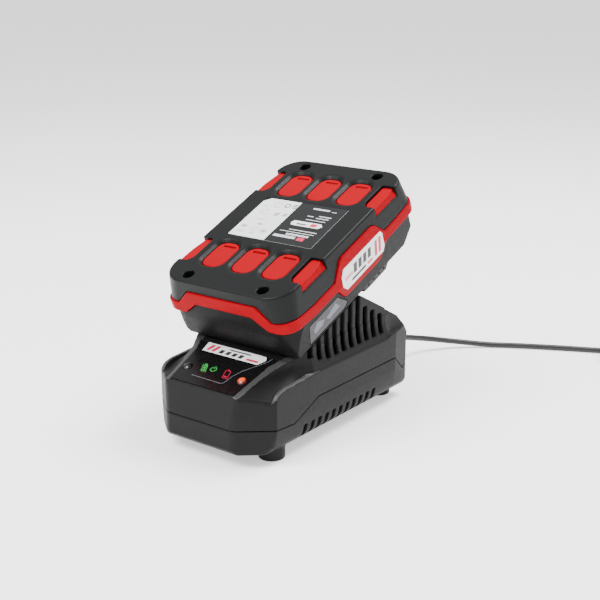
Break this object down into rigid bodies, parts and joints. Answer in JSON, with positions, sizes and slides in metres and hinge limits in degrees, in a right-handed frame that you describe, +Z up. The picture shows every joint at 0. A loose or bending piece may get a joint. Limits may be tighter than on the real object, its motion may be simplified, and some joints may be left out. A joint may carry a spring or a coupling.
{
  "type": "power tool battery charger",
  "caption": "Desktop charger with a sloping indicator panel, vented wedge and mains lead, and the slide-on tool battery docked on its rails.",
  "frame": {"origin": "on the table under the middle of the charger with its battery docked, at the bottom of the four feet", "axes": "+X to the right seen from the front, +Y to the rear where the mains lead leaves, +Z up"},
  "size_m": [0.195, 0.356, 0.1326],
  "materials": {
    "housing_plastic": "fine spark-eroded texture",
    "panel_gloss": "high gloss",
    "lens_green": "clear tinted",
    "lens_red": "clear tinted, lit",
    "circuit_board": "solder-resist lacquer",
    "led_body": "clear epoxy",
    "zinc_steel": "zinc plated",
    "ferrite": "ground ceramic",
    "winding_tape": "polyester tape",
    "capacitor_sleeve": "shrink sleeve",
    "film_capacitor": "moulded case",
    "copper_wire": "enamelled wire",
    "fuse_glass": "ceramic tube, metal caps",
    "heatsink_aluminium": "extruded",
    "semiconductor": "moulded epoxy",
    "terminal_plastic": "glass-filled",
    "contact_metal": "tin and gold plated",
    "wire_blue": "insulation",
    "wire_red": "insulation",
    "clamp_plastic": "moulded",
    "cord_jacket": "satin PVC",
    "tie_band": "nylon",
    "plug_plastic": "moulded PVC",
    "pin_metal": "nickel plated",
    "battery_black": "fine texture",
    "battery_red": "satin gloss",
    "battery_base_black": "fine texture",
    "label_print": "printed film",
    "badge_white": "printed film",
    "sticker_grey": "printed film",
    "screw_black": "black oxide",
    "cell_wrap": "shrink sleeve",
    "holder_plastic": "moulded",
    "nickel_strip": "nickel",
    "board_blue": "solder-resist lacquer",
    "window_clear": "clear",
    "button_grey": "soft touch",
    "release_black": "fine texture, ribbed",
    "spring_steel": "drawn wire"
  },
  "bodies": {
    "charger": {"lower_housing": "housing_plastic", "upper_housing": "housing_plastic", "control_panel": "panel_gloss", "green_led_lens": "lens_green", "red_led_lens": "lens_red", "led_board": "circuit_board", "status_leds": "led_body", "housing_screws": "zinc_steel", "main_board": "circuit_board", "board_screws": "zinc_steel", "transformer_core": "ferrite", "transformer_winding": "winding_tape", "primary_capacitor": "capacitor_sleeve", "x_capacitor": "film_capacitor", "line_choke": "copper_wire", "mains_fuse": "fuse_glass", "heatsink": "heatsink_aluminium", "switching_transistor": "semiconductor", "output_rectifier": "semiconductor", "output_capacitors": "capacitor_sleeve", "terminal_block": "terminal_plastic", "terminal_blades": "contact_metal", "mains_leads": "wire_blue", "output_leads": "wire_red", "cord_clamp": "clamp_plastic", "clamp_screws": "zinc_steel", "cord_strain_relief": "cord_jacket", "power_cord": "cord_jacket", "cord_coil": "cord_jacket", "cord_tie": "tie_band", "plug_body": "plug_plastic", "plug_pins": "pin_metal"},
    "battery": {"battery_cover": "battery_black", "battery_mid_frame": "battery_red", "battery_base": "battery_base_black", "rating_label": "label_print", "side_badges": "badge_white", "base_sticker": "sticker_grey", "battery_screws": "screw_black", "battery_cells": "cell_wrap", "cell_holders": "holder_plastic", "cell_links": "nickel_strip", "protection_board": "board_blue", "contact_housing": "terminal_plastic", "battery_contacts": "contact_metal", "level_board": "circuit_board", "level_leds": "led_body", "level_window": "window_clear", "latch_springs": "spring_steel"},
    "level_button": {"level_button": "button_grey"},
    "release_button": {"release_button": "release_black"}
  },
  "joints": [
    {"name": "battery_slide", "type": "slide", "parent": "charger", "child": "battery", "axis": [0, 0.9245, 0.3811], "range_m": [0, 0.07]},
    {"name": "release_press", "type": "slide", "parent": "battery", "child": "release_button", "axis": [0, -0.3811, 0.9245], "range_m": [0, 0.0035], "stiffness_N_per_m": 1500, "springref_m": -0.0015, "deforming": ["latch_springs"]},
    {"name": "level_press", "type": "slide", "parent": "battery", "child": "level_button", "axis": [0, -0.9245, -0.3811], "range_m": [0, 0.0008], "stiffness_N_per_m": 1500, "springref_m": -0.0004}
  ]
}
